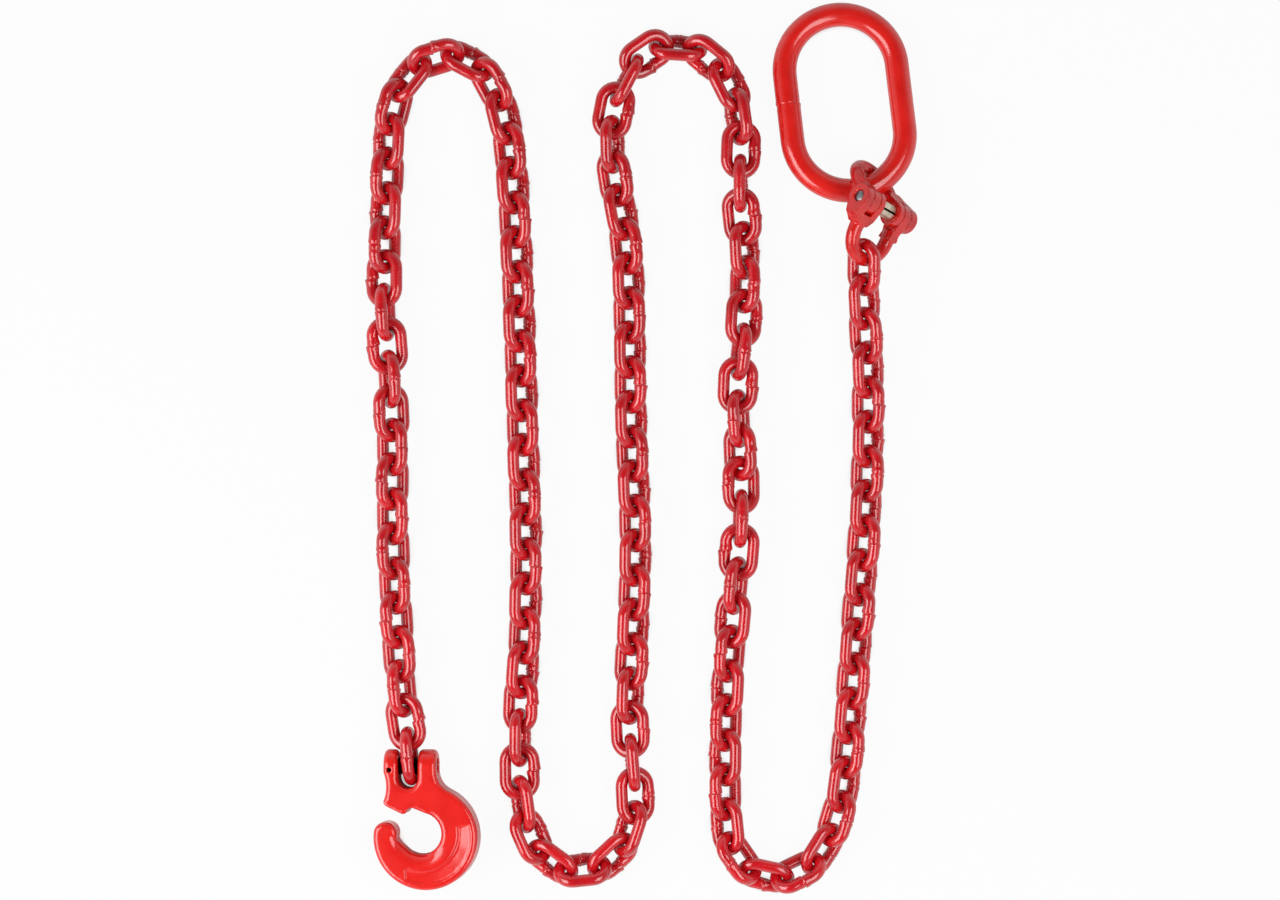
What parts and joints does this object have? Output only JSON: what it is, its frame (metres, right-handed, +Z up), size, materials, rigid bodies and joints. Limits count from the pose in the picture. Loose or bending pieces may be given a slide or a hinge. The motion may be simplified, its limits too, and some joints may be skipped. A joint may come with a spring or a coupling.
{
  "type": "logging chain",
  "caption": "Welded-link logging chain with an oblong master link, a two-half pinned coupling and a clevis choker hook, laid out in folds.",
  "frame": {"origin": "on the ground, under the middle of the laid-out chain", "axes": "+Y towards the master link along the long straight runs, +X towards the master link's side, +Z up from the ground"},
  "size_m": [0.3682, 0.5947, 0.0564],
  "materials": {
    "chain_paint": "glossy crimson enamel",
    "fitting_paint": "glossy bright red enamel over forged steel",
    "pin_steel": "bare hardened steel",
    "sleeve_metal": "pale plated spring steel"
  },
  "bodies": {
    "master_link": {"master_link": "fitting_paint"},
    "coupling_upper": {"coupling_upper_half": "fitting_paint"},
    "coupling_lower": {"coupling_lower_half": "fitting_paint", "coupling_pin": "pin_steel", "coupling_sleeve": "sleeve_metal"},
    "chain_link_001": {"chain_link_001": "chain_paint"},
    "chain_link_002": {"chain_link_002": "chain_paint"},
    "chain_links_003_to_005": {"chain_links_003_to_005": "chain_paint"},
    "chain_links_006_to_008": {"chain_links_006_to_008": "chain_paint"},
    "chain_links_009_to_010": {"chain_links_009_to_010": "chain_paint"},
    "chain_links_011_to_013": {"chain_links_011_to_013": "chain_paint"},
    "chain_links_014_to_016": {"chain_links_014_to_016": "chain_paint"},
    "chain_links_017_to_018": {"chain_links_017_to_018": "chain_paint"},
    "chain_links_019_to_020": {"chain_links_019_to_020": "chain_paint"},
    "chain_links_021_to_022": {"chain_links_021_to_022": "chain_paint"},
    "chain_links_023_to_025": {"chain_links_023_to_025": "chain_paint"},
    "chain_links_026_to_027": {"chain_links_026_to_027": "chain_paint"},
    "chain_links_028_to_029": {"chain_links_028_to_029": "chain_paint"},
    "chain_links_030_to_032": {"chain_links_030_to_032": "chain_paint"},
    "chain_links_033_to_034": {"chain_links_033_to_034": "chain_paint"},
    "chain_links_035_to_036": {"chain_links_035_to_036": "chain_paint"},
    "chain_links_037_to_039": {"chain_links_037_to_039": "chain_paint"},
    "chain_links_040_to_041": {"chain_links_040_to_041": "chain_paint"},
    "chain_links_042_to_043": {"chain_links_042_to_043": "chain_paint"},
    "chain_links_044_to_045": {"chain_links_044_to_045": "chain_paint"},
    "chain_links_046_to_047": {"chain_links_046_to_047": "chain_paint"},
    "chain_links_048_to_049": {"chain_links_048_to_049": "chain_paint"},
    "chain_links_050_to_052": {"chain_links_050_to_052": "chain_paint"},
    "chain_links_053_to_055": {"chain_links_053_to_055": "chain_paint"},
    "chain_links_056_to_057": {"chain_links_056_to_057": "chain_paint"},
    "chain_links_058_to_059": {"chain_links_058_to_059": "chain_paint"},
    "chain_links_060_to_062": {"chain_links_060_to_062": "chain_paint"},
    "chain_links_063_to_065": {"chain_links_063_to_065": "chain_paint"},
    "chain_links_066_to_067": {"chain_links_066_to_067": "chain_paint"},
    "chain_links_068_to_069": {"chain_links_068_to_069": "chain_paint"},
    "chain_links_070_to_072": {"chain_links_070_to_072": "chain_paint"},
    "chain_links_073_to_074": {"chain_links_073_to_074": "chain_paint"},
    "chain_links_075_to_077": {"chain_links_075_to_077": "chain_paint"},
    "chain_links_078_to_079": {"chain_links_078_to_079": "chain_paint"},
    "chain_links_080_to_082": {"chain_links_080_to_082": "chain_paint"},
    "chain_links_083_to_085": {"chain_links_083_to_085": "chain_paint"},
    "chain_links_086_to_088": {"chain_links_086_to_088": "chain_paint"},
    "chain_links_089_to_091": {"chain_links_089_to_091": "chain_paint"},
    "chain_links_092_to_093": {"chain_links_092_to_093": "chain_paint"},
    "chain_links_094_to_095": {"chain_links_094_to_095": "chain_paint"},
    "chain_links_096_to_097": {"chain_links_096_to_097": "chain_paint"},
    "chain_links_098_to_100": {"chain_links_098_to_100": "chain_paint"},
    "chain_links_101_to_103": {"chain_links_101_to_103": "chain_paint"},
    "chain_links_104_to_105": {"chain_links_104_to_105": "chain_paint"},
    "chain_links_106_to_107": {"chain_links_106_to_107": "chain_paint"},
    "chain_links_108_to_109": {"chain_links_108_to_109": "chain_paint"},
    "chain_links_110_to_111": {"chain_links_110_to_111": "chain_paint"},
    "chain_links_112_to_113": {"chain_links_112_to_113": "chain_paint"},
    "chain_links_114_to_115": {"chain_links_114_to_115": "chain_paint"},
    "chain_links_116_to_117": {"chain_links_116_to_117": "chain_paint"},
    "chain_link_118": {"chain_link_118": "chain_paint"},
    "chain_link_119": {"chain_link_119": "chain_paint"},
    "hook": {"choker_hook": "fitting_paint", "hook_load_pin": "pin_steel", "hook_roll_pin": "pin_steel"}
  },
  "joints": [
    {"name": "hook_on_load_pin", "type": "hinge", "parent": "chain_link_119", "child": "hook", "pos_m": [-0.15396, -0.21234, 0.01397], "axis": [0.9945, 0, 0.1045], "range_deg": [-60, 60]},
    {"name": "swing_at_link_119", "type": "hinge", "parent": "chain_link_118", "child": "chain_link_119", "pos_m": [-0.15594, -0.19013, 0.01375], "axis": [0.1383, 0.0024, -0.9904], "range_deg": [-14, 30]},
    {"name": "swing_at_link_118", "type": "hinge", "parent": "chain_links_116_to_117", "child": "chain_link_118", "pos_m": [-0.15951, -0.16773, 0.01297], "axis": [0.9297, 0.1557, 0.3338], "range_deg": [-30, 30]},
    {"name": "swing_at_links_116_to_117", "type": "hinge", "parent": "chain_links_114_to_115", "child": "chain_links_116_to_117", "pos_m": [-0.16292, -0.12249, 0.01131], "axis": [-0.7523, -0.0757, -0.6544], "range_deg": [-30, 30]},
    {"name": "swing_at_links_114_to_115", "type": "hinge", "parent": "chain_links_112_to_113", "child": "chain_links_114_to_115", "pos_m": [-0.16503, -0.08502, 0.01129], "axis": [-0.7087, -0.0235, 0.7051], "range_deg": [-30, 30]},
    {"name": "swing_at_links_112_to_113", "type": "hinge", "parent": "chain_links_110_to_111", "child": "chain_links_112_to_113", "pos_m": [-0.1663, -0.03033, 0.01118], "axis": [-0.7069, -0.0079, -0.7072], "range_deg": [-6.5, 30]},
    {"name": "swing_at_links_110_to_111", "type": "hinge", "parent": "chain_links_108_to_109", "child": "chain_links_110_to_111", "pos_m": [-0.16613, 0.00701, 0.01145], "axis": [0.807, 0.0596, -0.5875], "range_deg": [-30, 30]},
    {"name": "swing_at_links_108_to_109", "type": "hinge", "parent": "chain_links_106_to_107", "child": "chain_links_108_to_109", "pos_m": [-0.16814, 0.05193, 0.0136], "axis": [-0.9915, -0.078, 0.1043], "range_deg": [-19, 16.5]},
    {"name": "swing_at_links_106_to_107", "type": "hinge", "parent": "chain_links_104_to_105", "child": "chain_links_106_to_107", "pos_m": [-0.17136, 0.09659, 0.0136], "axis": [0.872, 0.0303, 0.4886], "range_deg": [-16.5, 24]},
    {"name": "swing_at_links_104_to_105", "type": "hinge", "parent": "chain_links_101_to_103", "child": "chain_links_104_to_105", "pos_m": [-0.17112, 0.1421, 0.01116], "axis": [-0.6956, 0.025, -0.718], "range_deg": [-30, 30]},
    {"name": "swing_at_links_101_to_103", "type": "hinge", "parent": "chain_links_098_to_100", "child": "chain_links_101_to_103", "pos_m": [-0.16899, 0.21141, 0.01238], "axis": [-0.6886, 0.1614, 0.7069], "range_deg": [-30, 30]},
    {"name": "swing_at_links_098_to_100", "type": "hinge", "parent": "chain_links_096_to_097", "child": "chain_links_098_to_100", "pos_m": [-0.12176, 0.26389, 0.01487], "axis": [-0.2208, 0.6719, 0.707], "range_deg": [-30, 1.5]},
    {"name": "swing_at_links_096_to_097", "type": "hinge", "parent": "chain_links_094_to_095", "child": "chain_links_096_to_097", "pos_m": [-0.09558, 0.23579, 0.01141], "axis": [0.6846, 0.1771, -0.707], "range_deg": [-30, 30]},
    {"name": "swing_at_links_094_to_095", "type": "hinge", "parent": "chain_links_092_to_093", "child": "chain_links_094_to_095", "pos_m": [-0.08611, 0.18202, 0.01142], "axis": [0.7036, 0.0706, 0.7071], "range_deg": [-30, 30]},
    {"name": "swing_at_links_092_to_093", "type": "hinge", "parent": "chain_links_089_to_091", "child": "chain_links_092_to_093", "pos_m": [-0.08396, 0.14432, 0.01117], "axis": [0.7064, 0.0318, -0.7071], "range_deg": [-30, 30]},
    {"name": "swing_at_links_089_to_091", "type": "hinge", "parent": "chain_links_086_to_088", "child": "chain_links_089_to_091", "pos_m": [-0.08086, 0.06654, 0.01117], "axis": [-0.7067, -0.0253, 0.7071], "range_deg": [-30, 30]},
    {"name": "swing_at_links_086_to_088", "type": "hinge", "parent": "chain_links_083_to_085", "child": "chain_links_086_to_088", "pos_m": [-0.07878, -0.00279, 0.01118], "axis": [0.7068, 0.0213, 0.7071], "range_deg": [-30, 30]},
    {"name": "swing_at_links_083_to_085", "type": "hinge", "parent": "chain_links_080_to_082", "child": "chain_links_083_to_085", "pos_m": [-0.07697, -0.06363, 0.01125], "axis": [-0.705, 0.0025, -0.7092], "range_deg": [-30, 30]},
    {"name": "swing_at_links_080_to_082", "type": "hinge", "parent": "chain_links_078_to_079", "child": "chain_links_080_to_082", "pos_m": [-0.07814, -0.13285, 0.01122], "axis": [-0.6883, 0.0629, 0.7227], "range_deg": [-30, 30]},
    {"name": "swing_at_links_078_to_079", "type": "hinge", "parent": "chain_links_075_to_077", "child": "chain_links_078_to_079", "pos_m": [-0.08108, -0.1871, 0.01314], "axis": [-0.8211, -0.0012, -0.5707], "range_deg": [-16.5, 21.5]},
    {"name": "swing_at_links_075_to_077", "type": "hinge", "parent": "chain_links_073_to_074", "child": "chain_links_075_to_077", "pos_m": [-0.07679, -0.25374, 0.01278], "axis": [-0.3858, -0.024, -0.9223], "range_deg": [-19, 30]},
    {"name": "swing_at_links_073_to_074", "type": "hinge", "parent": "chain_links_070_to_072", "child": "chain_links_073_to_074", "pos_m": [-0.05483, -0.28358, 0.01484], "axis": [0.0688, -0.672, 0.7374], "range_deg": [-6.5, 30]},
    {"name": "swing_at_links_070_to_072", "type": "hinge", "parent": "chain_links_068_to_069", "child": "chain_links_070_to_072", "pos_m": [-0.00293, -0.2394, 0.01479], "axis": [0.5362, -0.1965, 0.8209], "range_deg": [-11.5, 30]},
    {"name": "swing_at_links_068_to_069", "type": "hinge", "parent": "chain_links_066_to_067", "child": "chain_links_068_to_069", "pos_m": [-0.00686, -0.20388, 0.01406], "axis": [-0.9489, -0.0548, -0.3107], "range_deg": [-11.5, 6.5]},
    {"name": "swing_at_links_066_to_067", "type": "hinge", "parent": "chain_links_063_to_065", "child": "chain_links_066_to_067", "pos_m": [-0.00733, -0.15865, 0.01221], "axis": [0.7644, -0.0205, 0.6444], "range_deg": [-30, 30]},
    {"name": "swing_at_links_063_to_065", "type": "hinge", "parent": "chain_links_060_to_062", "child": "chain_links_063_to_065", "pos_m": [-0.00428, -0.0896, 0.01116], "axis": [0.7069, -0.0092, -0.7072], "range_deg": [-30, 30]},
    {"name": "swing_at_links_060_to_062", "type": "hinge", "parent": "chain_links_058_to_059", "child": "chain_links_060_to_062", "pos_m": [-0.00567, -0.01181, 0.01115], "axis": [0.7084, 0.0301, -0.7051], "range_deg": [-30, 30]},
    {"name": "swing_at_links_058_to_059", "type": "hinge", "parent": "chain_links_056_to_057", "child": "chain_links_058_to_059", "pos_m": [-0.00711, 0.02592, 0.01119], "axis": [-0.707, -0.0093, -0.7071], "range_deg": [-30, 30]},
    {"name": "swing_at_links_056_to_057", "type": "hinge", "parent": "chain_links_053_to_055", "child": "chain_links_056_to_057", "pos_m": [-0.00777, 0.08063, 0.01117], "axis": [-0.707, -0.0093, 0.7071], "range_deg": [-30, 30]},
    {"name": "swing_at_links_053_to_055", "type": "hinge", "parent": "chain_links_050_to_052", "child": "chain_links_053_to_055", "pos_m": [-0.0118, 0.14978, 0.0117], "axis": [0.7026, 0.0731, 0.7078], "range_deg": [-30, 30]},
    {"name": "swing_at_links_050_to_052", "type": "hinge", "parent": "chain_links_048_to_049", "child": "chain_links_050_to_052", "pos_m": [-0.01972, 0.21757, 0.01472], "axis": [-0.4308, -0.0652, 0.9001], "range_deg": [-21.5, 9]},
    {"name": "swing_at_links_048_to_049", "type": "hinge", "parent": "chain_links_046_to_047", "child": "chain_links_048_to_049", "pos_m": [-0.00972, 0.25293, 0.01591], "axis": [-0.5075, 0.7508, 0.4227], "range_deg": [-14, 30]},
    {"name": "swing_at_links_046_to_047", "type": "hinge", "parent": "chain_links_044_to_045", "child": "chain_links_046_to_047", "pos_m": [0.04011, 0.26506, 0.01213], "axis": [0.0088, 0.5417, -0.8405], "range_deg": [-4, 30]},
    {"name": "swing_at_links_044_to_045", "type": "hinge", "parent": "chain_links_042_to_043", "child": "chain_links_044_to_045", "pos_m": [0.06561, 0.22759, 0.01233], "axis": [0.6864, 0.3177, -0.6541], "range_deg": [-30, 21.5]},
    {"name": "swing_at_links_042_to_043", "type": "hinge", "parent": "chain_links_040_to_041", "child": "chain_links_042_to_043", "pos_m": [0.06573, 0.18243, 0.014], "axis": [-0.9805, 0.0384, 0.1928], "range_deg": [-21.5, 19]},
    {"name": "swing_at_links_040_to_041", "type": "hinge", "parent": "chain_links_037_to_039", "child": "chain_links_040_to_041", "pos_m": [0.0687, 0.13787, 0.01238], "axis": [-0.9181, -0.0797, -0.3882], "range_deg": [-16.5, 16.5]},
    {"name": "swing_at_links_037_to_039", "type": "hinge", "parent": "chain_links_035_to_036", "child": "chain_links_037_to_039", "pos_m": [0.06736, 0.07024, 0.01347], "axis": [0.8751, -0.0728, -0.4785], "range_deg": [-26.5, 26.5]},
    {"name": "swing_at_links_035_to_036", "type": "hinge", "parent": "chain_links_033_to_034", "child": "chain_links_035_to_036", "pos_m": [0.06376, 0.02546, 0.01395], "axis": [0.9983, -0.0414, 0.0419], "range_deg": [-9, 11.5]},
    {"name": "swing_at_links_033_to_034", "type": "hinge", "parent": "chain_links_030_to_032", "child": "chain_links_033_to_034", "pos_m": [0.06654, -0.01898, 0.01224], "axis": [0.7253, 0.0218, 0.6881], "range_deg": [-11.5, 4]},
    {"name": "swing_at_links_030_to_032", "type": "hinge", "parent": "chain_links_028_to_029", "child": "chain_links_030_to_032", "pos_m": [0.06382, -0.08574, 0.01341], "axis": [-0.9766, 0.0858, -0.1974], "range_deg": [-26.5, 30]},
    {"name": "swing_at_links_028_to_029", "type": "hinge", "parent": "chain_links_026_to_027", "child": "chain_links_028_to_029", "pos_m": [0.05946, -0.13077, 0.01179], "axis": [0.8173, -0.0943, 0.5685], "range_deg": [-30, 30]},
    {"name": "swing_at_links_026_to_027", "type": "hinge", "parent": "chain_links_023_to_025", "child": "chain_links_026_to_027", "pos_m": [0.05703, -0.168, 0.01128], "axis": [-0.706, 0.021, 0.7079], "range_deg": [-30, 30]},
    {"name": "swing_at_links_023_to_025", "type": "hinge", "parent": "chain_links_021_to_022", "child": "chain_links_023_to_025", "pos_m": [0.05584, -0.23739, 0.01049], "axis": [-0.7005, -0.1014, -0.7064], "range_deg": [-30, 30]},
    {"name": "swing_at_links_021_to_022", "type": "hinge", "parent": "chain_links_019_to_020", "child": "chain_links_021_to_022", "pos_m": [0.06736, -0.28251, 0.01138], "axis": [-0.1542, -0.6901, -0.7071], "range_deg": [-30, 0]},
    {"name": "swing_at_links_019_to_020", "type": "hinge", "parent": "chain_links_017_to_018", "child": "chain_links_019_to_020", "pos_m": [0.11257, -0.28207, 0.01176], "axis": [0.589, -0.3919, -0.7068], "range_deg": [-30, 29]},
    {"name": "swing_at_links_017_to_018", "type": "hinge", "parent": "chain_links_014_to_016", "child": "chain_links_017_to_018", "pos_m": [0.13475, -0.23258, 0.01204], "axis": [0.6806, -0.192, 0.7071], "range_deg": [-30, 30]},
    {"name": "swing_at_links_014_to_016", "type": "hinge", "parent": "chain_links_011_to_013", "child": "chain_links_014_to_016", "pos_m": [0.14013, -0.1719, 0.01119], "axis": [-0.7051, 0.0531, -0.7071], "range_deg": [-30, 30]},
    {"name": "swing_at_links_011_to_013", "type": "hinge", "parent": "chain_links_009_to_010", "child": "chain_links_011_to_013", "pos_m": [0.1453, -0.10273, 0.01116], "axis": [-0.7049, 0.0564, 0.7071], "range_deg": [-30, 30]},
    {"name": "swing_at_links_009_to_010", "type": "hinge", "parent": "chain_links_006_to_008", "child": "chain_links_009_to_010", "pos_m": [0.14944, -0.04817, 0.01126], "axis": [0.7053, -0.0507, 0.7071], "range_deg": [-30, 30]},
    {"name": "swing_at_links_006_to_008", "type": "hinge", "parent": "chain_links_003_to_005", "child": "chain_links_006_to_008", "pos_m": [0.15137, 0.01267, 0.01121], "axis": [0.7072, -0.0211, 0.7067], "range_deg": [-30, 30]},
    {"name": "swing_at_links_003_to_005", "type": "hinge", "parent": "chain_link_002", "child": "chain_links_003_to_005", "pos_m": [0.14843, 0.08967, 0.02021], "axis": [-0.7149, 0.0868, -0.6938], "range_deg": [-30, 30]},
    {"name": "swing_at_link_002", "type": "hinge", "parent": "chain_link_001", "child": "chain_link_002", "pos_m": [0.14717, 0.11204, 0.0259], "axis": [0.6943, 0.215, -0.6868], "range_deg": [-30, 30]},
    {"name": "chain_on_coupling", "type": "hinge", "parent": "coupling_lower", "child": "chain_link_001", "pos_m": [0.1477, 0.13456, 0.0318], "axis": [-0.7068, 0.1944, -0.6802], "range_deg": [-30, 14]},
    {"name": "coupling_pin_hinge", "type": "hinge", "parent": "coupling_upper", "child": "coupling_lower", "pos_m": [0.16026, 0.15799, 0.03126], "axis": [-0.6409, 0.2988, 0.7071], "range_deg": [-9, 45]},
    {"name": "coupling_on_master_link", "type": "hinge", "parent": "master_link", "child": "coupling_upper", "pos_m": [0.15426, 0.17429, 0.01893], "axis": [0.902, 0.4307, -0.0304], "range_deg": [-25, 20]}
  ]
}
